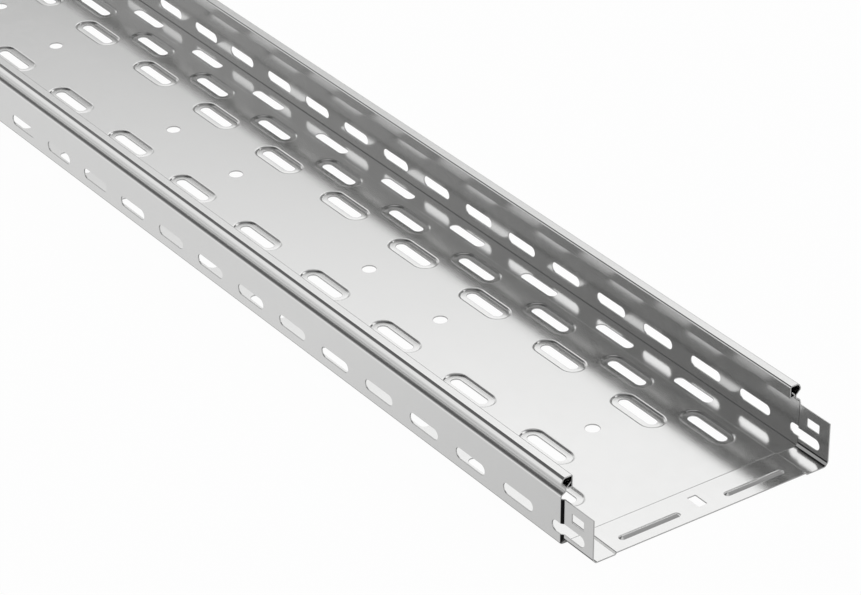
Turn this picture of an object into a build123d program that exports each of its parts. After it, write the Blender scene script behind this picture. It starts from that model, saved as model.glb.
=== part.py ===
from build123d import *
import math
import os

# A perforated cable tray: one steel sheet, punched and embossed flat, then folded
# into a channel whose wall tops are rolled into lid edges, and joggled at one end
# so that it plugs into the next length. Millimetres, +Z up. The joggled end is at
# -X, and the origin is under the middle of the tray.

# Stock
LENGTH = 2000.0
WIDTH = 200.0
HEIGHT = 50.0
THICK = 1.0

# Base: two outer strips lie on the ground and carry a raised middle
STRIP_W = 20.0
RISER_RUN = 1.2
RAISE = 1.2
BEND = 1.0

# Rolled lid edge, measured inward from the wall and down from the top
ROLL_W = 9.8
ROLL_DROP = 9.6
CREST_IN = 0.6
CREST_DROP = 1.1
LIP_GAP = 0.4
LIP_RISE = 2.2
LIP_RETURN = 2.7
SHOULDER_IN = 2.9
EAVE_IN = 1.4
EAVE_DROP = 1.2
SIDE_GAP = 0.3
SIDE_TOP = 3.6
BULGE = 5.2
NECK_IN = 3.8
NECK_TOP = 8.6
NECK_FOOT = 10.8
WALL_TOP = 13.1

# Joggled end
SPIGOT_LEN = 30.0
JOGGLE_LEN = 2.5
JOGGLE = 1.6
SPIGOT_TOP = 35.0
SPIGOT_CORNER = 2.6
CLIP_L = 12.3
CLIP_W = 6.7
CLIP_X = 16.2
CLIP_Z = 25.0
BEAD_X = 11.0
BEAD_Y = 43.6
BEAD_L = 50.5
BEAD_W = 6.0
BEAD_H = 1.2

# Perforation: five wall slots to three base slots
PITCH = 87.5
WALL_SHARE = 0.6
FIRST = 127.5
ROW_IN = 38.7
ROW_MID = 63.6
ROW_OUT = 87.1
SLOT_L = 38.0
SLOT_W = 8.0
ROUND_D = 10.5
WALL_FIRST = 25.0
WALL_SLOT_L = 32.0
WALL_SLOT_W = 8.0
WALL_SLOT_Z = 12.2
RIM = 5.7
DEPTH = 1.2
END_MARGIN = 8.0
PANEL_MARGIN = 2.0

# The bolt slots nearest each end have round ends, the others have a few flats
FLATS = 3
BOLT_SLOTS = 2

HALF = WIDTH / 2
FOOT = HALF - STRIP_W
START = -LENGTH / 2
JOGGLED = SPIGOT_LEN + JOGGLE_LEN
MAIN = WALL_FIRST + WALL_SLOT_L / 2 + END_MARGIN
MAIN_LEN = LENGTH - MAIN
WALL_PITCH = PITCH * WALL_SHARE
CUP_L = SLOT_L + 2 * RIM
CUP_W = SLOT_W + 2 * RIM

# Half widths of the flat panels that the openings are punched in
WALL_PANEL = WALL_SLOT_W / 2 + PANEL_MARGIN
STRIP_PANEL = SLOT_W / 2 + PANEL_MARGIN
CENTRE_PANEL = ROW_MID + CUP_W / 2 + PANEL_MARGIN


def at(x, y=0.0, z=0.0):
    """A place whose x is counted from the joggled end."""
    return Location((START + x, y, z))


def slot(length, width, flats=0):
    """A slot along X: round ends, or ends of a few flats."""
    if flats == 0:
        return SlotOverall(length, width)
    points = []
    for side in (1, -1):
        for i in range(flats + 1):
            angle = math.pi * (i / flats - 0.5)
            x = (length - width) / 2 + width / 2 * math.cos(angle)
            points.append((side * x, side * width / 2 * math.sin(angle)))
    return make_face(Polyline(*points, close=True))


def row(first, pitch, length):
    """Places along the tray where an opening of this length fits whole."""
    count = int((LENGTH - END_MARGIN - length / 2 - first) // pitch) + 1
    return [first + pitch * i for i in range(count)]


def panel(width, openings):
    """A flat strip of the sheet along the tray, with its openings punched."""
    blank = Pos(MAIN_LEN / 2, 0) * Rectangle(MAIN_LEN, width)
    holes = [Pos(x - MAIN, y) * shape for x, y, shape in openings]
    return extrude(Face(blank.face().outer_wire(), [hole.face().outer_wire() for hole in holes]), THICK)


def fold(points):
    """The section of a folded strip, whose outer side runs along the points."""
    normals = []
    for (y0, z0), (y1, z1) in zip(points, points[1:]):
        run = math.hypot(y1 - y0, z1 - z0)
        normals.append(((z1 - z0) / run, (y0 - y1) / run))
    before = [normals[0]] + normals
    after = normals + [normals[-1]]
    inner = []
    for (y, z), a, b in zip(points, before, after):
        reach = THICK / (1 + a[0] * b[0] + a[1] * b[1])
        inner.append((y + (a[0] + b[0]) * reach, z + (a[1] + b[1]) * reach))
    return Plane.YZ * make_face(Polyline(*points, *reversed(inner), close=True))


def channel(half, bottom, top, corner):
    """Outer points of a channel, from the top of its left wall to the right."""
    left = [
        (half, top),
        (half, bottom + corner),
        (half - corner, bottom),
        (FOOT, bottom),
        (FOOT - RISER_RUN, bottom + RAISE),
    ]
    return left + [(-y, z) for y, z in reversed(left)]


def lid_edge():
    """The left lid edge, from the hidden lip round to the wall. The lip closes
    against the neck and returns to the inner side, which makes a small hollow hem."""
    inside = HALF - ROLL_W
    bulge = HALF - SIDE_GAP
    neck = HALF - NECK_IN
    lip = neck - THICK - LIP_GAP
    lip_foot = HEIGHT - ROLL_DROP
    return fold([
        (lip - LIP_RETURN, lip_foot + LIP_RISE + LIP_RETURN),
        (lip, lip_foot + LIP_RISE),
        (lip, lip_foot),
        (inside, lip_foot),
        (inside, HEIGHT - CREST_DROP),
        (inside + CREST_IN, HEIGHT),
        (HALF - SHOULDER_IN, HEIGHT),
        (HALF - EAVE_IN, HEIGHT - EAVE_DROP),
        (bulge, HEIGHT - SIDE_TOP),
        (bulge, HEIGHT - BULGE),
        (neck, HEIGHT - NECK_TOP),
        (neck, HEIGHT - NECK_FOOT),
        (HALF, HEIGHT - WALL_TOP),
        (HALF, WALL_SLOT_Z + WALL_PANEL),
    ])


def corner():
    """The bend between the left wall's panel and the strip's."""
    return fold([
        (HALF, WALL_SLOT_Z - WALL_PANEL),
        (HALF, BEND),
        (HALF - BEND, 0),
        (ROW_OUT + STRIP_PANEL, 0),
    ])


def riser():
    """The step from the left strip's panel up to the raised middle."""
    return fold([
        (ROW_OUT - STRIP_PANEL, 0),
        (FOOT, 0),
        (FOOT - RISER_RUN, RAISE),
        (CENTRE_PANEL, RAISE),
    ])


def cup():
    """A slot in a recess pressed down from the middle, open at its rim."""
    rim = slot(CUP_L, CUP_W, FLATS)
    pressed = extrude(rim, -DEPTH, taper=45)
    cut = extrude(slot(SLOT_L, SLOT_W, FLATS), DEPTH + THICK, both=True)
    return extrude(rim, THICK) + pressed - Pos(0, 0, THICK) * pressed - cut


def wall_openings():
    """Slots of a wall, without the one that crosses the joggle."""
    places = row(WALL_FIRST, WALL_PITCH, WALL_SLOT_L)[1:]
    openings = []
    for i, x in enumerate(places):
        bolted = min(i, len(places) - 1 - i) < BOLT_SLOTS
        openings.append((x, 0, slot(WALL_SLOT_L, WALL_SLOT_W, 0 if bolted else FLATS)))
    return openings


def strip_openings():
    """Plain slots of an outer strip."""
    places = row(FIRST, PITCH, SLOT_L)
    return [(x, 0, slot(SLOT_L, SLOT_W, 0 if i < BOLT_SLOTS else FLATS)) for i, x in enumerate(places)]


def round_openings():
    """Round holes of the centre line, with every third place left whole."""
    openings = []
    for i, x in enumerate(row(FIRST, PITCH, ROUND_D)):
        if i <= BOLT_SLOTS:
            shape = Circle(ROUND_D / 2)
        else:
            shape = RegularPolygon(ROUND_D / 2, 2 * FLATS + 2, major_radius=False)
        if i % 3 != 1:
            openings.append((x, 0, shape))
    return openings


def mirrored(shapes):
    return shapes + [mirror(shape, Plane.XZ) for shape in shapes]


cup_places = []
for y, first in ((ROW_IN, FIRST), (ROW_MID, FIRST - PITCH / 2)):
    for x in row(first, PITCH, CUP_L):
        cup_places += [(x, y), (x, -y)]

# The plain length, folded from punched panels
wall = panel(2 * WALL_PANEL, wall_openings())
strip = panel(2 * STRIP_PANEL, strip_openings())
rims = [(x, y, slot(CUP_L, CUP_W, FLATS)) for x, y in cup_places]
centre = panel(2 * CENTRE_PANEL, rims + round_openings())
sides = mirrored([
    at(MAIN, HALF, WALL_SLOT_Z) * Rot(90, 0, 0) * wall,
    at(MAIN, ROW_OUT) * strip,
    extrude(at(MAIN) * lid_edge(), MAIN_LEN),
    extrude(at(MAIN) * corner(), MAIN_LEN),
    extrude(at(MAIN) * riser(), MAIN_LEN),
])
one_cup = cup()
cups = [at(x, y, RAISE) * one_cup for x, y in cup_places]

# The joggled end: spigot, joggle, and a stretch of plain section with lid edges
spigot_section = fold(channel(HALF - JOGGLE, JOGGLE, SPIGOT_TOP, SPIGOT_CORNER))
plain_section = fold(channel(HALF, 0, HEIGHT - WALL_TOP, BEND))
end = extrude(at(0) * spigot_section, SPIGOT_LEN)
end += loft([at(SPIGOT_LEN) * spigot_section, at(JOGGLED) * plain_section], ruled=True)
end += extrude(at(JOGGLED) * plain_section, MAIN - JOGGLED)
end = end.fuse(*mirrored([extrude(at(JOGGLED) * lid_edge(), MAIN - JOGGLED)]))

# Its beads, clip holes and the wall slots that cross the joggle
floor = JOGGLE + RAISE
bead = extrude(Rot(0, 0, 90) * slot(BEAD_L, BEAD_W, FLATS), BEAD_H, taper=45)
through = 2 * (JOGGLE + THICK)
clip = extrude(Rectangle(CLIP_L, CLIP_W), through, both=True)
cross_slot = extrude(slot(WALL_SLOT_L, WALL_SLOT_W, FLATS), through, both=True)
beads = [at(BEAD_X, y, floor + THICK) * bead for y in (BEAD_Y, -BEAD_Y)]
hollows = [at(BEAD_X, y, floor) * bead for y in (BEAD_Y, -BEAD_Y)]
openings = [at(CLIP_X, 0, floor) * clip]
for y in (HALF - JOGGLE, JOGGLE - HALF):
    openings.append(at(CLIP_X, y, CLIP_Z) * Rot(90, 0, 0) * clip)
    openings.append(at(WALL_FIRST, y, WALL_SLOT_Z) * Rot(90, 0, 0) * cross_slot)
end = end.fuse(*beads).cut(*hollows, *openings)

tray = (at(MAIN, 0, RAISE) * centre).fuse(*sides, *cups, end, glue=True)

os.makedirs("parts", exist_ok=True)
export_step(tray, "parts/tray.step")
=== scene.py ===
import math

import bpy
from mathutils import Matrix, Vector


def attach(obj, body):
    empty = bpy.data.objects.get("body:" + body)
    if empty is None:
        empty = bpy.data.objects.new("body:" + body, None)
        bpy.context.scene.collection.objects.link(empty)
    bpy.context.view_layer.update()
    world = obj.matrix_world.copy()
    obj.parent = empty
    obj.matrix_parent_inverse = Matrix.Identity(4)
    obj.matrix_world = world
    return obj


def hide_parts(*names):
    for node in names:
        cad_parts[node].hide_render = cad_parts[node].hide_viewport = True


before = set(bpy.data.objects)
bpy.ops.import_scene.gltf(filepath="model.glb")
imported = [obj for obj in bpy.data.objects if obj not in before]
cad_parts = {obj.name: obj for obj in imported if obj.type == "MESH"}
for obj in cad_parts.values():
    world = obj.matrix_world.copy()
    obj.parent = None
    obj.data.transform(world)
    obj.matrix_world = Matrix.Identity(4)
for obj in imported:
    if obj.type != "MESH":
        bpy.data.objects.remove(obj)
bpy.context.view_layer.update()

# The tray's own sizes in millimetres, x counted from the joggled end
LENGTH = 2000.0
HALF = 100.0
HEIGHT = 50.0
THICK = 1.0

# Base: outer strips on the ground, a raised middle, and the bend to the wall
FOOT = 80.0
RISER = 1.2
RAISE = 1.2
BEND = 1.0

# Rolled lid edge, measured inward from the wall and down from the top
ROLL_W = 9.8
ROLL_DROP = 9.6
CREST_IN = 0.6
CREST_DROP = 1.1
LIP_GAP = 0.4
LIP_RISE = 2.2
LIP_RETURN = 2.7
SHOULDER_IN = 2.9
EAVE_IN = 1.4
EAVE_DROP = 1.2
SIDE_GAP = 0.3
SIDE_TOP = 3.6
BULGE = 5.2
NECK_IN = 3.8
NECK_TOP = 8.6
NECK_FOOT = 10.8
WALL_TOP = 13.1

# Joggled end
SPIGOT_LEN = 30.0
JOGGLED = 32.5
JOGGLE = 1.6
SPIGOT_TOP = 35.0
SPIGOT_CORNER = 2.6
SPIGOT_LIFT = 0.5
CLIP_L = 12.3
CLIP_W = 6.7
CLIP_X = 16.2
CLIP_Z = 25.0
BEAD_X = 11.0
BEAD_Y = 43.6
BEAD_L = 50.5
BEAD_W = 6.0
BEAD_H = 1.2

# Perforation
PITCH = 87.5
WALL_PITCH = 52.5
FIRST = 127.5
WALL_FIRST = 25.0
WALL_SLOT_Z = 12.2
WALL_SLOT_L = 32.0
SLOT_L = 38.0
SLOT_W = 8.0
ROUND_D = 10.5
ROW_IN = 38.7
ROW_MID = 63.6
ROW_OUT = 87.1
RIM = 6.3
DEPTH = 1.2
END_MARGIN = 8.0

# Bend radii at the middle of the sheet
TIGHT = 0.6
SOFT = 1.0
CORNER = 1.19
WALL_BEND = 2.4
SPIGOT_SIDE = 2.7
SPIGOT_BEND = 2.0

# Painted shade in the folds, and how dark it is painted: the lid edge's crest, shoulder and
# neck, the wall's corners, both ends of the step in the base, and the joggle where the sheet
# lies level. On the joggle it is a painted dark reflection.
CREST_SHADE = 0.7
SHOULDER_SHADE = 0.5
NECK_SHADE = 0.25
CORNER_SHADE = 1.2
SPIGOT_SHADE = 2.5
FOOT_SHADE = 0.4
RISER_SHADE = 0.2
LEVEL_JOGGLE_SHADE = 0.5

# How much darker and duller the face of a cut edge and its eased rims are drawn
CUT_FACE = 0.4
CUT_RIM = 0.6

# Slopes pressed into the sheet, from their rim inward, as pieces that give their
# width and the tilt in degrees at which they end
CUP_SLOPE = ((0.1, 7), (0.6, 8), (0.2, 44), (0.7, 44), (0.3, -4), (1.7, -3), (1.9, -0.5))
BEAD_SLOPE = ((0.3, 10), (0.2, 26), (1.0, 26), (1.0, 24), (0.35, 10), (0.15, 0))

# How finely round forms are drawn, the share of the joggle's run that each of its
# two curves takes, and how far cut edges are eased
BEND_STEPS = 4
LOOP_STEPS = 6
JOGGLE_STEPS = 8
FILLET = 0.25
EDGE = 0.2

# Slack for comparing places along the tray
SLACK = 1e-6

# Lines along the tray that part its rows of openings, and the top of the wall's flat
ROW_LINE = (ROW_IN + ROW_MID) / 2
MIDDLE_LINE = 15.0
CLIP_LINE = 19.0
TOP = SPIGOT_TOP - EDGE


class Sheet:
    """Faces with a normal and an amount of painted shade at every corner. Equal points are
    welded.
    A spot is (point, normal, painted shade), with the point in the middle of the sheet."""

    def __init__(self):
        self.points = []
        self.found = {}
        self.faces = []
        self.normals = []
        self.painted_shade = []
        self.cut = []

    def index(self, point):
        key = (round(point[0], 3), round(point[1], 3), round(point[2], 3))
        if key not in self.found:
            self.found[key] = len(self.points)
            self.points.append(point)
        return self.found[key]

    def face(self, spots, cut=0.0):
        """One face. Its normals say which side is out."""
        corners = {}
        for point, normal, painted_shade in spots:
            corners.setdefault(self.index(point), (normal, painted_shade))
        if len(corners) < 3:
            return
        indices = list(corners)
        area = Vector()
        origin = self.points[indices[0]]
        for a, b in zip(indices[1:], indices[2:]):
            area += (self.points[a] - origin).cross(self.points[b] - origin)
        if area.dot(sum([normal for normal, painted_shade in corners.values()], Vector())) < 0:
            indices.reverse()
        self.faces.append(indices)
        self.normals += [corners[index][0] for index in indices]
        self.painted_shade += [corners[index][1] for index in indices]
        self.cut += [cut] * len(indices)

    def skins(self, spots):
        """The upper and lower skin of a piece of sheet."""
        half = THICK / 2
        self.face([(point + normal * half, normal, painted_shade) for point, normal, painted_shade in spots])
        self.face([(point - normal * half, -normal, painted_shade) for point, normal, painted_shade in spots])

    def edge(self, spots, outs, facing, closed=False):
        """The eased edge of the sheet beyond a row of spots. Outs lead from each
        spot to the edge, and facing gives the edge's own direction."""
        half = THICK / 2
        rows = []
        for (point, normal, painted_shade), out, face in zip(spots, outs, facing):
            side = point + out * EDGE
            rows.append((
                (point + normal * half, normal, 0.0),
                (side + normal * (half - EDGE), face, 0.0),
                (side - normal * (half - EDGE), face, 0.0),
                (point - normal * half, -normal, 0.0),
            ))
        pairs = list(zip(rows, rows[1:]))
        if closed:
            pairs.append((rows[-1], rows[0]))
        for a, b in pairs:
            for i in range(3):
                self.face([a[i], a[i + 1], b[i + 1], b[i]], CUT_FACE if i == 1 else CUT_RIM)

    def mesh(self, name):
        mesh = bpy.data.meshes.new(name)
        places = [((x - LENGTH / 2) / 1000, y / 1000, z / 1000) for x, y, z in self.points]
        mesh.from_pydata(places, [], self.faces)
        mesh.polygons.foreach_set("use_smooth", [True] * len(self.faces))
        # The painted shade, and how dark and dull cut edges are, go to the material as
        # attributes
        for kind, values in (("painted_shade", self.painted_shade), ("cut", self.cut)):
            mesh.attributes.new(kind, "FLOAT", "CORNER").data.foreach_set("value", values)
        mesh.normals_split_custom_set([normal.normalized() for normal in self.normals])
        return mesh


def bent(corners):
    """Places along the middle of a folded strip whose outer side runs along the
    corners, as (y, z, normal y, normal z, painted shade). A corner is (y, z, radius,
    painted shade at the bend), and the two ends need only y and z."""
    runs = [(b[0] - a[0], b[1] - a[1]) for a, b in zip(corners, corners[1:])]
    ahead = [Vector(run).normalized() for run in runs]
    ahead = [ahead[0]] + ahead + [ahead[-1]]
    places = []
    for i, (y, z, *bend) in enumerate(corners):
        before = ahead[i]
        after = ahead[i + 1]
        n0 = Vector((before.y, -before.x))
        n1 = Vector((after.y, -after.x))
        corner = Vector((y, z)) + (n0 + n1) * (THICK / 2 / (1 + n0.dot(n1)))
        if not bend:
            places.append((corner.x, corner.y, n0.x, n0.y, 0.0))
            continue
        start = math.atan2(n0.y, n0.x)
        turn = (math.atan2(n1.y, n1.x) - start + math.pi) % (2 * math.pi) - math.pi
        radius, tone = bend
        side = 1 if after.dot(n0) > 0 else -1
        centre = corner - before * radius * math.tan(abs(turn) / 2) + n0 * side * radius
        for k in range(BEND_STEPS + 1):
            angle = start + turn * k / BEND_STEPS
            normal = Vector((math.cos(angle), math.sin(angle)))
            place = centre - normal * side * radius
            # Painted shade, darkest at the middle of the bend
            painted_shade = min(tone * (1 - abs(2 * k / BEND_STEPS - 1)), 1.0)
            places.append((place.x, place.y, normal.x, normal.y, painted_shade))
    return places


def lid_edge():
    """Section of the left lid edge, from the hidden hem round to the wall."""
    inside = HALF - ROLL_W
    bulge = HALF - SIDE_GAP
    neck = HALF - NECK_IN
    lip = neck - THICK - LIP_GAP
    lip_foot = HEIGHT - ROLL_DROP
    back = LIP_RETURN - EDGE * math.sqrt(0.5)
    return bent([
        (lip - back, lip_foot + LIP_RISE + back),
        (lip, lip_foot + LIP_RISE, TIGHT, 0.0),
        (lip, lip_foot, TIGHT, 0.0),
        (inside, lip_foot, TIGHT, 0.0),
        (inside, HEIGHT - CREST_DROP, TIGHT, 0.0),
        (inside + CREST_IN, HEIGHT, TIGHT, CREST_SHADE),
        (HALF - SHOULDER_IN, HEIGHT, TIGHT, SHOULDER_SHADE),
        (HALF - EAVE_IN, HEIGHT - EAVE_DROP, SOFT, 0.0),
        (bulge, HEIGHT - SIDE_TOP, SOFT, 0.0),
        (bulge, HEIGHT - BULGE, SOFT, NECK_SHADE),
        (neck, HEIGHT - NECK_TOP, SOFT, NECK_SHADE),
        (neck, HEIGHT - NECK_FOOT, SOFT, NECK_SHADE),
        (HALF, HEIGHT - WALL_TOP, WALL_BEND, 0.0),
        (HALF, TOP),
    ])


def trough(half, bottom, corner, lift, radii, tone):
    """Section of the left half below the lid edge, from the wall to the middle. The
    bend between wall and base has two corners, each with its own radius."""
    return bent([
        (half, TOP),
        (half, bottom + corner + lift, radii[0], tone),
        (half - corner, bottom, radii[1], tone),
        (FOOT, bottom, TIGHT, FOOT_SHADE),
        (FOOT - RISER, bottom + RAISE, TIGHT, RISER_SHADE),
        (0, bottom + RAISE),
    ])


def outline(length, width, radius, grow=0.0, stops=()):
    """A rounded opening as (x, s, out x, out s): its upper side from right to left,
    then its lower side from left to right. Stops are added to its long sides."""
    chains = []
    for half_turn in (0, 1):
        chain = []
        for quarter in (2 * half_turn, 2 * half_turn + 1):
            cx = (length / 2 - radius) * (1 if quarter in (0, 3) else -1)
            cs = (width / 2 - radius) * (1 if quarter < 2 else -1)
            arc = []
            for k in range(LOOP_STEPS + 1):
                angle = (quarter + k / LOOP_STEPS) * math.pi / 2
                out_x = math.cos(angle)
                out_s = math.sin(angle)
                reach = radius + grow
                arc.append((cx + out_x * reach, cs + out_s * reach, out_x, out_s))
            if quarter % 2:
                up = 1 - 2 * half_turn
                side = up * (width / 2 + grow)
                chain += [(x, side, 0.0, up) for x in sorted(stops, reverse=not half_turn)]
            chain += arc
        chains.append(chain)
    return chains


def pressed(depth, pieces):
    """Profile of a slope pressed into the sheet, as (inward, down, tilt), with its
    deepest place at the depth."""
    steps = []
    inward = 0.0
    down = 0.0
    before = 0.0
    for width, degrees in pieces:
        tilt = math.radians(degrees)
        inward += width
        down += width * math.tan((before + tilt) / 2)
        before = tilt
        steps.append((inward, down, tilt))
    deepest = max(down for inward, down, tilt in steps)
    return [(inward, down * depth / deepest, tilt) for inward, down, tilt in steps]


sheet = Sheet()
lid = lid_edge()
plain = trough(HALF, 0.0, BEND, 0.0, (CORNER, CORNER), CORNER_SHADE)
spigot = trough(
    HALF - JOGGLE, JOGGLE, SPIGOT_CORNER, SPIGOT_LIFT, (SPIGOT_SIDE, SPIGOT_BEND), SPIGOT_SHADE,
)

# Places in the section where its flats begin and end, after the bends before them
WALL_END = 1
STRIP_START = 2 * BEND_STEPS + 2
STRIP_END = STRIP_START + 1
MIDDLE_START = 4 * BEND_STEPS + 4


def share(x):
    """How much of the spigot's section there is at x, how fast that changes, and
    how strongly the painted dark reflection on the joggle shows."""
    u = (JOGGLED - x) / (JOGGLED - SPIGOT_LEN)
    if u <= 0:
        return 0.0, 0.0, 0.0
    if u >= 1:
        return 1.0, 0.0, 0.0
    near = min(u, 1 - u)
    slope = min(near / FILLET, 1) / (1 - FILLET)
    if near < FILLET:
        w = near * near / (2 * FILLET * (1 - FILLET))
    else:
        w = (near - FILLET / 2) / (1 - FILLET)
    rate = -slope / (JOGGLED - SPIGOT_LEN)
    return (w if u < 0.5 else 1 - w), rate, min(near * JOGGLE_STEPS, 1)


def spot(x, a, b, side):
    """The spot at x between the plain section's place a and the spigot's b."""
    w, rate, joggle = share(x)
    y, z, normal_y, normal_z, tone = [p + (q - p) * w for p, q in zip(a, b)]
    normal = Vector((0, normal_y, normal_z)).normalized()
    # Painted shade of the folds, and the painted dark reflection on the joggle, weaker where the
    # sheet lies level
    painted_shade = max(tone, joggle * (1 - (1 - LEVEL_JOGGLE_SHADE) * abs(normal.z)))
    lean = (b[0] - a[0]) * normal.y + (b[1] - a[1]) * normal.z
    normal = Vector((-lean * rate, normal.y, normal.z)).normalized()
    return Vector((x, y * side, z)), Vector((normal.x, normal.y * side, normal.z)), painted_shade


def station(x, i, side):
    """The spot at x in place i of the section below the lid edge."""
    return spot(x, plain[i], spigot[i], side)


def lid_spot(x, i, side):
    """The spot at x in place i of the lid edge's section."""
    return spot(x, lid[i], lid[i], side)


def wall_spot(side):
    """Finds spots on a wall's flat from x and z."""
    y0, y1 = plain[0][0], spigot[0][0]
    return lambda x, z: spot(x, (y0, z, -1.0, 0.0, 0.0), (y1, z, -1.0, 0.0, 0.0), side)


def base_spot(place, side):
    """Finds spots on one of the base's flats from x and y."""
    z0, z1 = plain[place][1], spigot[place][1]
    return lambda x, y: spot(x, (y, z0, 0.0, 1.0, 0.0), (y, z1, 0.0, 1.0, 0.0), side)


def between(a, b):
    """Stations along the tray from a to b."""
    return [x for x in stations if a - SLACK <= x <= b + SLACK]


def blank(place, xs, low, high):
    """Whole sheet between two lines along the tray."""
    sheet.skins([place(x, low) for x in xs] + [place(x, high) for x in reversed(xs)])


def around(place, xs, low, high, upper, lower, left=True, right=True):
    """Sheet around an opening, whose sides are given as rows of (x, s)."""
    upper = [place(*point[:2]) for point in upper]
    lower = [place(*point[:2]) for point in lower]
    sheet.skins([place(x, high) for x in xs] + upper)
    sheet.skins([place(x, low) for x in reversed(xs)] + lower)
    if right:
        sheet.skins([place(xs[-1], high), place(xs[-1], low), lower[-1], upper[0]])
    if left:
        sheet.skins([place(xs[0], low), place(xs[0], high), upper[-1], lower[0]])


def moved(chain, x, s):
    return [(point[0] + x, point[1] + s, *point[2:]) for point in chain]


def towards(place, point):
    """The direction into an opening at a point of its outline."""
    x, s, out_x, out_s = point
    step = 0.01
    middle = place(x, s)[0]
    back = place(x - step, s)[0] - middle
    down = place(x, s - step)[0] - middle
    return (back * out_x + down * out_s).normalized()


def punched(place, chains):
    """The eased edge of an opening."""
    loop = chains[0] + chains[1]
    outs = [towards(place, point) for point in loop]
    sheet.edge([place(*point[:2]) for point in loop], outs, outs, closed=True)


def opening(place, xs, low, high, x, s, size):
    """One punched opening in its own piece of sheet."""
    length, width, radius = size
    chains = [moved(chain, x, s) for chain in outline(length, width, radius, EDGE)]
    around(place, xs, low, high, *chains)
    punched(place, chains)


def pressing(place, xs, low, high, x, s, size, profile, raised):
    """One pressed form in its own piece of sheet: its slope, and where a slot
    opens it, its floor and the slot."""
    length, width, radius, slot_inset = size
    rim = [moved(chain, x, s) for chain in outline(length, width, radius)]
    around(place, xs, low, high, *rim)
    sign = 1 if raised else -1
    steps = [(0.0, 0.0, 0.0)] + profile
    if slot_inset:
        steps.append((slot_inset - EDGE, profile[-1][1], profile[-1][2]))
    rings = []
    for inward, down, tilt in steps:
        chains = [moved(chain, x, s) for chain in outline(length, width, radius, -inward)]
        ring = []
        for point in chains[0] + chains[1]:
            middle, normal, painted_shade = place(*point[:2])
            lean = towards(place, point) * math.sin(tilt) * -sign
            normal_there = (normal * math.cos(tilt) + lean).normalized()
            ring.append((middle + normal * down * sign, normal_there, painted_shade))
        rings.append(ring)
    for outer, inner in zip(rings, rings[1:]):
        for k in range(len(outer)):
            n = (k + 1) % len(outer)
            sheet.skins([outer[k], outer[n], inner[n], inner[k]])
    if slot_inset:
        outs = [towards(place, point) for point in chains[0] + chains[1]]
        sheet.edge(rings[-1], outs, outs, closed=True)


def row(first, pitch, length):
    """Places along the tray where an opening of this length fits whole."""
    count = int((LENGTH - END_MARGIN - length / 2 - first) // pitch) + 1
    return [first + pitch * i for i in range(count)]


END = LENGTH - EDGE
START = EDGE
ROLLED = JOGGLED + EDGE
CUP_L = SLOT_L + 2 * RIM
CUP_W = SLOT_W + 2 * RIM
wall_slots = row(WALL_FIRST, WALL_PITCH, WALL_SLOT_L)[1:]
cups_in = row(FIRST, PITCH, CUP_L)
cups_mid = row(FIRST - PITCH / 2, PITCH, CUP_L)
strip_slots = row(FIRST, PITCH, SLOT_L)
rounds = row(FIRST, PITCH, ROUND_D)
lines = {JOGGLED, ROLLED, END}
for places, pitch in ((wall_slots, WALL_PITCH), (cups_in, PITCH), (cups_mid, PITCH)):
    for x in places:
        lines.update(line for line in (x - pitch / 2, x + pitch / 2) if ROLLED < line < END)
stations = sorted(lines)
joggle_run = JOGGLED - SPIGOT_LEN
joggle_xs = [SPIGOT_LEN + joggle_run * k / JOGGLE_STEPS for k in range(JOGGLE_STEPS + 1)]
joggle_cells = list(zip(joggle_xs, joggle_xs[1:]))
spigot_xs = [START, SPIGOT_LEN]

slot_size = (SLOT_L, SLOT_W, SLOT_W / 2)
wall_slot_size = (WALL_SLOT_L, SLOT_W, SLOT_W / 2)
round_size = (ROUND_D, ROUND_D, ROUND_D / 2)
clip_size = (CLIP_L, CLIP_W, TIGHT)
cup_size = (CUP_L, CUP_W, CUP_W / 2, RIM)
cup_profile = pressed(DEPTH, CUP_SLOPE)
bead_size = (BEAD_W, BEAD_L, BEAD_W / 2, 0.0)
bead_profile = pressed(BEAD_H, BEAD_SLOPE)

# Places of the section from which flats run, and the sides of the flats
flats = (0, STRIP_START)
wall_low = plain[WALL_END][1]
strip_low = plain[STRIP_END][0]
strip_high = plain[STRIP_START][0]
middle_side = plain[MIDDLE_START][0]

NEAR = Vector((-1, 0, 0))
FAR = Vector((1, 0, 0))
UP = Vector((0, 0, 1))


def band(find, i, xs, side):
    """The piece of the section beyond its place i, drawn along the tray."""
    for a, b in zip(xs, xs[1:]):
        sheet.skins([
            find(a, i, side), find(b, i, side), find(b, i + 1, side), find(a, i + 1, side),
        ])


def lid_and_bends(side):
    """The lid edge, and the bends of the plain length, the joggle and the spigot."""
    for i in range(len(lid) - 1):
        band(lid_spot, i, between(ROLLED, END), side)
    for xs in (stations, joggle_xs, spigot_xs):
        for i in range(MIDDLE_START):
            if i not in flats:
                band(station, i, xs, side)


def wall_flat(side):
    """A wall's flat with its slots, and the spigot's with its clip hole."""
    wall = wall_spot(side)
    for x in wall_slots:
        xs = between(x - WALL_PITCH / 2, min(x + WALL_PITCH / 2, END))
        opening(wall, xs, wall_low, TOP, x, WALL_SLOT_Z, wall_slot_size)
    blank(wall, between(wall_slots[-1] + WALL_PITCH / 2, END), wall_low, TOP)
    crossing_slot(wall, side)
    opening(wall, spigot_xs, CLIP_LINE, TOP, CLIP_X, CLIP_Z, clip_size)
    slot_low = WALL_SLOT_Z - SLOT_W / 2 - EDGE
    slot_high = WALL_SLOT_Z + SLOT_W / 2 + EDGE
    for a, b in joggle_cells:
        sheet.skins([
            station(a, WALL_END, side), station(b, WALL_END, side),
            wall(b, slot_low), wall(a, slot_low),
        ])
        blank(wall, [a, b], slot_high, CLIP_LINE)
        blank(wall, [a, b], CLIP_LINE, TOP)


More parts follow.
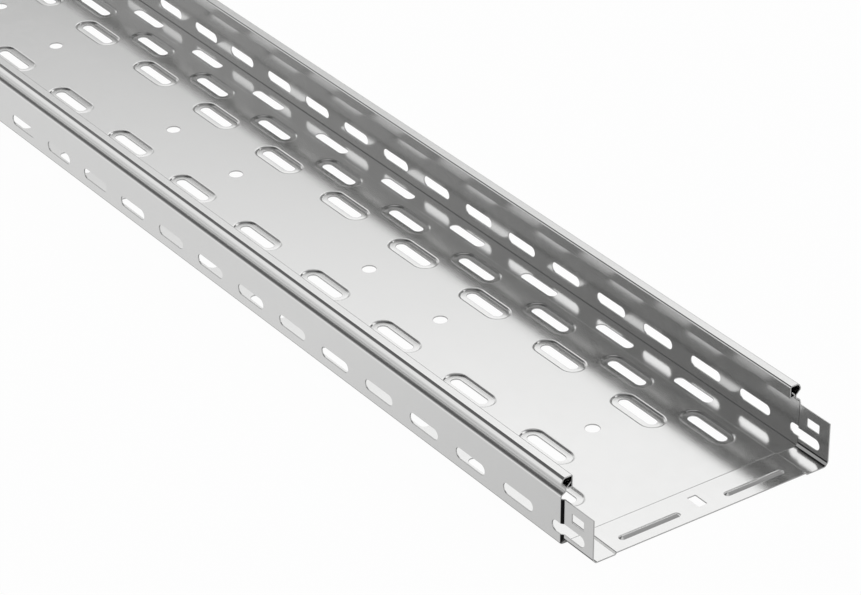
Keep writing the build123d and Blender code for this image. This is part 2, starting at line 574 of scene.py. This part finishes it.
def crossing_slot(wall, side):
    """The wall slot that crosses the joggle, with the sheet at its two ends."""
    stops = [x - WALL_FIRST for x in joggle_xs]
    chains = outline(WALL_SLOT_L, SLOT_W, SLOT_W / 2, EDGE, stops)
    upper, lower = [moved(chain, WALL_FIRST, WALL_SLOT_Z) for chain in chains]
    punched(wall, (upper, lower))
    near_upper = [point for point in upper if point[0] <= SPIGOT_LEN + SLACK]
    near_lower = [point for point in lower if point[0] <= SPIGOT_LEN + SLACK]
    spigot_low = spigot[WALL_END][1]
    around(wall, spigot_xs, spigot_low, CLIP_LINE, near_upper, near_lower, right=False)
    far_upper = [point for point in upper if point[0] >= JOGGLED - SLACK]
    far_lower = [point for point in lower if point[0] >= JOGGLED - SLACK]
    far_upper.append((JOGGLED, CLIP_LINE))
    xs = between(JOGGLED, wall_slots[0] - WALL_PITCH / 2)
    around(wall, xs, wall_low, TOP, far_upper, far_lower, left=False)


def strip_flat(side):
    """An outer strip of the base with its plain slots."""
    strip = base_spot(STRIP_START, side)
    blank(strip, between(JOGGLED, strip_slots[0] - PITCH / 2), strip_low, strip_high)
    for x in strip_slots:
        xs = between(x - PITCH / 2, min(x + PITCH / 2, END))
        opening(strip, xs, strip_low, strip_high, x, ROW_OUT, slot_size)
    band(station, STRIP_START, joggle_xs, side)
    band(station, STRIP_START, spigot_xs, side)


def middle_flat(side):
    """Half of the raised middle: two rows of pressed slots, the joggle and a bead."""
    middle = base_spot(-1, side)
    for places, s, low, high in (
        (cups_in, ROW_IN, MIDDLE_LINE, ROW_LINE),
        (cups_mid, ROW_MID, ROW_LINE, middle_side),
    ):
        blank(middle, between(ROLLED, places[0] - PITCH / 2), low, high)
        for x in places:
            xs = between(x - PITCH / 2, min(x + PITCH / 2, END))
            pressing(middle, xs, low, high, x, s, cup_size, cup_profile, False)
        if places[-1] + PITCH / 2 < END:
            blank(middle, between(places[-1] + PITCH / 2, END), low, high)
    sheet.skins([
        middle(JOGGLED, middle_side), middle(JOGGLED, MIDDLE_LINE), middle(ROLLED, MIDDLE_LINE),
        middle(ROLLED, ROW_LINE), middle(ROLLED, middle_side),
    ])
    for a, b in joggle_cells:
        blank(middle, [a, b], MIDDLE_LINE, middle_side)
    pressing(
        middle, spigot_xs, MIDDLE_LINE, middle_side,
        BEAD_X, BEAD_Y, bead_size, bead_profile, True,
    )


def cut_edges(side):
    """The spigot's end and top, the lid edge's end and lip, and the far end."""
    wall = wall_spot(side)
    middle = base_spot(-1, side)
    spots = [wall(START, TOP), wall(START, CLIP_LINE)]
    spots += [station(START, i, side) for i in range(1, MIDDLE_START + 1)]
    spots.append(middle(START, MIDDLE_LINE))
    sheet.edge(spots, [NEAR + UP] + [NEAR] * (len(spots) - 1), [NEAR] * len(spots))

    xs = [START] + joggle_xs + [ROLLED]
    outs = [NEAR + UP] + [UP] * (len(xs) - 2) + [NEAR + UP]
    sheet.edge([wall(x, TOP) for x in xs], outs, [UP] * len(xs))

    lip = Vector((0, -side, 1)).normalized()
    spots = [lid_spot(ROLLED, i, side) for i in range(len(lid))]
    outs = [NEAR + lip] + [NEAR] * (len(lid) - 2) + [NEAR + UP]
    sheet.edge(spots, outs, [NEAR] * len(lid))

    xs = between(ROLLED, END)
    outs = [NEAR + lip] + [lip] * (len(xs) - 2) + [FAR + lip]
    sheet.edge([lid_spot(x, 0, side) for x in xs], outs, [lip] * len(xs))

    spots = [lid_spot(END, i, side) for i in range(len(lid))]
    spots += [station(END, i, side) for i in range(1, MIDDLE_START + 1)]
    spots += [middle(END, ROW_LINE), middle(END, MIDDLE_LINE)]
    sheet.edge(spots, [FAR + lip] + [FAR] * (len(spots) - 1), [FAR] * len(spots))


def centre_line():
    """Round holes, with every third place left whole, and a clip hole."""
    middle = base_spot(-1, 1)
    blank(middle, between(JOGGLED, rounds[0] - PITCH / 2), -MIDDLE_LINE, MIDDLE_LINE)
    for i, x in enumerate(rounds):
        xs = between(x - PITCH / 2, min(x + PITCH / 2, END))
        if i % 3 == 1:
            blank(middle, xs, -MIDDLE_LINE, MIDDLE_LINE)
        else:
            opening(middle, xs, -MIDDLE_LINE, MIDDLE_LINE, x, 0.0, round_size)
    for a, b in joggle_cells:
        blank(middle, [a, b], -MIDDLE_LINE, MIDDLE_LINE)
    opening(middle, spigot_xs, -MIDDLE_LINE, MIDDLE_LINE, CLIP_X, 0.0, clip_size)
    for x, out in ((START, NEAR), (END, FAR)):
        spots = [middle(x, MIDDLE_LINE), middle(x, -MIDDLE_LINE)]
        sheet.edge(spots, [out] * 2, [out] * 2)


for side in (1, -1):
    lid_and_bends(side)
    wall_flat(side)
    strip_flat(side)
    middle_flat(side)
    cut_edges(side)
centre_line()


def put(tree, socket, value):
    """Sets a socket, or links it where the value is a socket too."""
    if isinstance(value, bpy.types.NodeSocket):
        tree.links.new(value, socket)
    else:
        socket.default_value = value


def node(tree, kind, **inputs):
    """A shader node whose inputs are given by name, with _ for a space."""
    made = tree.nodes.new(kind)
    for name, value in inputs.items():
        put(tree, made.inputs[name.replace("_", " ")], value)
    return made


def math_node(tree, operation, *values, clamp=False):
    made = tree.nodes.new("ShaderNodeMath")
    made.operation = operation
    made.use_clamp = clamp
    for socket, value in zip(made.inputs, values):
        put(tree, socket, value)
    return made.outputs[0]


def weighted(tree, parts, base=0.0):
    """The sum of values times their weights, and a base."""
    total = base
    for value, weight in parts:
        total = math_node(tree, "ADD", math_node(tree, "MULTIPLY", value, weight), total)
    return total


def blend(tree, kind, factor, a, b):
    """A mix of two values or colours."""
    made = tree.nodes.new("ShaderNodeMix")
    made.data_type = kind
    for name, value in (("Factor", factor), ("A", a), ("B", b)):
        put(tree, made.inputs[name], value)
    return made.outputs["Result"]


def ranged(tree, value, place, level):
    """A value carried from one range over to another."""
    return node(
        tree, "ShaderNodeMapRange", Value=value,
        From_Min=place[0], From_Max=place[1], To_Min=level[0], To_Max=level[1],
    ).outputs["Result"]


def noise(tree, vector, **inputs):
    return node(tree, "ShaderNodeTexNoise", Vector=vector, **inputs).outputs["Fac"]


def new_material(name):
    material = bpy.data.materials.new(name)
    material.use_nodes = True
    material.node_tree.nodes.clear()
    return material, material.node_tree


def attribute(tree, name):
    made = tree.nodes.new("ShaderNodeAttribute")
    made.attribute_name = name
    return made.outputs["Fac"]


def galvanised():
    """Smooth hot-dip galvanised sheet: faint spangle, soft cloudiness in its sheen,
    fine rolling lines along the sheet, painted shade at tight folds, and darker, duller cut
    edges."""
    material, tree = new_material("galvanised_sheet")
    place = tree.nodes.new("ShaderNodeTexCoord").outputs["Object"]
    spangle = node(tree, "ShaderNodeTexVoronoi", Vector=place, Scale=150.0, Randomness=1.0)
    grain = node(tree, "ShaderNodeSeparateColor", Color=spangle.outputs["Color"]).outputs["Red"]
    clouds = noise(tree, place, Scale=14.0, Detail=4.0, Roughness=0.55)
    along = node(tree, "ShaderNodeMapping", Vector=place, Scale=(6.0, 900.0, 900.0))
    lines = noise(tree, along.outputs["Vector"], Scale=1.0, Detail=2.0)
    specks = noise(tree, place, Scale=2600.0, Detail=2.0)
    edge = attribute(tree, "cut")
    painted_shade = attribute(tree, "painted_shade")

    grey_zinc = (0.65, 0.65, 0.645, 1)
    pale_zinc = (0.87, 0.87, 0.865, 1)
    # The near-black of the painted shade
    shade = (0.01, 0.01, 0.01, 1)
    tone = weighted(tree, ((grain, 0.05), (clouds, 0.06)), 0.45)
    zinc = blend(tree, "RGBA", tone, grey_zinc, pale_zinc)
    # Painted shade along the folds and on the joggle, and darker cut edges, blend the zinc
    # towards near-black
    painted_shade_and_cut_edges = math_node(tree, "MAXIMUM", math_node(tree, "MULTIPLY", edge, 0.6), painted_shade)
    colour = blend(tree, "RGBA", painted_shade_and_cut_edges, zinc, shade)

    rough = weighted(tree, ((clouds, 0.04), (grain, 0.02), (lines, 0.03), (edge, 0.12)), 0.12)
    relief = weighted(tree, ((lines, 0.6), (specks, 0.4)))
    bump = node(tree, "ShaderNodeBump", Strength=0.012, Distance=0.0001, Height=relief)
    shader = node(
        tree, "ShaderNodeBsdfPrincipled", Base_Color=colour, Metallic=1.0,
        Roughness=rough, Normal=bump.outputs["Normal"],
    )
    node(tree, "ShaderNodeOutputMaterial", Surface=shader.outputs["BSDF"])
    return material


tray = bpy.data.objects.new("tray_sheet", sheet.mesh("tray_sheet"))
bpy.context.scene.collection.objects.link(tray)
tray.data.materials.append(galvanised())
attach(tray, "root")
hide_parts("tray")

# The floor's glow, in metres from the tray's middle: the metal near the joggled end
# mirrors a floor a little darker than further along, and far aside it is white
FLOOR_SIZE = 80.0
FLOOR_Z = -0.0003
FLOOR_ALONG = (-0.95, -0.65)
FLOOR_LEVELS = (0.69, 0.81)
FLOOR_ASIDE = (0.18, 0.6)
FLOOR_SEEN = 1.02
FLOOR_GLOW_SHARE = 0.95


def floor_material():
    """Pale studio floor: bright to the camera and the metal, and it keeps a shadow."""
    material, tree = new_material("studio_floor")
    place = tree.nodes.new("ShaderNodeTexCoord").outputs["Object"]
    parts = node(tree, "ShaderNodeSeparateXYZ", Vector=place)
    mirrored = ranged(tree, parts.outputs["X"], FLOOR_ALONG, FLOOR_LEVELS)
    aside = math_node(tree, "ABSOLUTE", parts.outputs["Y"])
    far_aside = ranged(tree, aside, FLOOR_ASIDE, (0.0, 1.0))
    mirrored = blend(tree, "FLOAT", far_aside, mirrored, 1.0)
    rays = tree.nodes.new("ShaderNodeLightPath")
    camera = rays.outputs["Is Camera Ray"]
    level = blend(tree, "FLOAT", camera, mirrored, FLOOR_SEEN)
    glow = node(tree, "ShaderNodeEmission", Color=(1, 1, 1, 1), Strength=level)
    rough = weighted(tree, ((noise(tree, place, Scale=3.0, Detail=3.0), 0.1),), 0.75)
    matt = node(tree, "ShaderNodeBsdfPrincipled", Base_Color=(0.8, 0.8, 0.8, 1), Roughness=rough)
    seen = math_node(tree, "MULTIPLY", camera, FLOOR_GLOW_SHARE)
    mix = tree.nodes.new("ShaderNodeMixShader")
    shown = math_node(tree, "ADD", seen, rays.outputs["Is Glossy Ray"], clamp=True)
    put(tree, mix.inputs[0], shown)
    put(tree, mix.inputs[1], matt.outputs["BSDF"])
    put(tree, mix.inputs[2], glow.outputs["Emission"])
    node(tree, "ShaderNodeOutputMaterial", Surface=mix.outputs["Shader"])
    return material


reach = FLOOR_SIZE / 2
floor_mesh = bpy.data.meshes.new("floor")
floor_mesh.from_pydata([
    (-reach, -reach, FLOOR_Z), (reach, -reach, FLOOR_Z),
    (reach, reach, FLOOR_Z), (-reach, reach, FLOOR_Z),
], [], [(0, 1, 2, 3)])
floor = bpy.data.objects.new("floor", floor_mesh)
bpy.context.scene.collection.objects.link(floor)
floor_mesh.materials.append(floor_material())

# Grey levels of the studio by the height of a direction, as (height, level), on the
# tray's right and on its left, and the directions between which one takes over
RIGHT_LEVELS = (
    (0.14, 0.83), (0.34, 0.65), (0.39, 0.26), (0.42, 0.30), (0.44, 0.63), (0.455, 0.67),
    (0.485, 0.705), (0.507, 0.86), (0.53, 1.0), (0.555, 1.04), (0.60, 0.98), (0.67, 0.86),
    (0.73, 0.34), (0.80, 0.17), (0.9, 0.30), (1.0, 0.6),
)
LEFT_LEVELS = (
    (0.14, 0.83), (0.3, 0.38), (0.46, 0.38), (0.49, 0.245), (0.53, 0.112), (0.70, 0.10),
    (0.8, 0.05), (0.88, 0.12), (1.0, 0.6),
)
RIGHT_TO_LEFT = (-0.42, 0.16)
SQUARE_RIGHT = (-0.90, -0.81)
SQUARE_RIGHT_LEVELS = (0.1, 1.2)


def levels(tree, value, stops):
    """Grey levels along a value, as (place, level) stops."""
    ramp = node(tree, "ShaderNodeValToRGB", Fac=value)
    ramp.color_ramp.interpolation = "EASE"
    elements = ramp.color_ramp.elements
    while len(elements) < len(stops):
        elements.new(0.5)
    for element, (place, level) in zip(elements, stops):
        element.position = place
        element.color = (level, level, level, 1)
    return ramp.outputs["Color"]


def sky():
    """White to the camera. The metal and the floor see a studio that is bright on
    the tray's right, dark square to it there, and dim on its left."""
    world = bpy.data.worlds.new("studio")
    bpy.context.scene.world = world
    world.use_nodes = True
    tree = world.node_tree
    tree.nodes.clear()
    direction = tree.nodes.new("ShaderNodeTexCoord").outputs["Generated"]
    parts = node(tree, "ShaderNodeSeparateXYZ", Vector=direction)
    side = parts.outputs["Y"]
    height = parts.outputs["Z"]
    right = levels(tree, height, RIGHT_LEVELS)
    left = levels(tree, height, LEFT_LEVELS)
    leftward = ranged(tree, side, RIGHT_TO_LEFT, (0.0, 1.0))
    both = blend(tree, "FLOAT", leftward, right, left)
    square = ranged(tree, side, SQUARE_RIGHT, SQUARE_RIGHT_LEVELS)
    level = math_node(tree, "MULTIPLY", both, square)
    camera = tree.nodes.new("ShaderNodeLightPath").outputs["Is Camera Ray"]
    strength = blend(tree, "FLOAT", camera, level, 1.0)
    background = node(tree, "ShaderNodeBackground", Color=(1, 1, 1, 1), Strength=strength)
    node(tree, "ShaderNodeOutputWorld", Surface=background.outputs["Background"])


sky()

# The lamp's size, power, place and the point it shines at, in metres and watts
LAMP_SIZE = (2.2, 2.0)
LAMP_POWER = 1.5
LAMP_PLACE = (-0.1, -2.4, 3.2)
LAMP_TARGET = Vector((-0.5, 0, 0))

# The camera's lens in millimetres, its place in metres and its turn in degrees
LENS = 161.65
SENSOR = 36.0
SEES_TO = 200.0
CAMERA_PLACE = (-2.5909, 1.3632, 1.3965)
CAMERA_TURN = (59.4637, 0.0555, -125.6174)

lamp_data = bpy.data.lights.new("soft_key", "AREA")
lamp_data.shape = "RECTANGLE"
lamp_data.size, lamp_data.size_y = LAMP_SIZE
lamp_data.energy = LAMP_POWER
lamp = bpy.data.objects.new("soft_key", lamp_data)
lamp.location = LAMP_PLACE
lamp.rotation_euler = (LAMP_TARGET - lamp.location).to_track_quat("-Z", "Y").to_euler()
bpy.context.scene.collection.objects.link(lamp)

camera_data = bpy.data.cameras.new("camera")
camera_data.sensor_width = SENSOR
camera_data.lens = LENS
camera_data.clip_end = SEES_TO
camera = bpy.data.objects.new("camera", camera_data)
camera.location = CAMERA_PLACE
camera.rotation_euler = [math.radians(turn) for turn in CAMERA_TURN]
bpy.context.scene.collection.objects.link(camera)
bpy.context.scene.camera = camera
bpy.context.scene.view_settings.view_transform = "Standard"
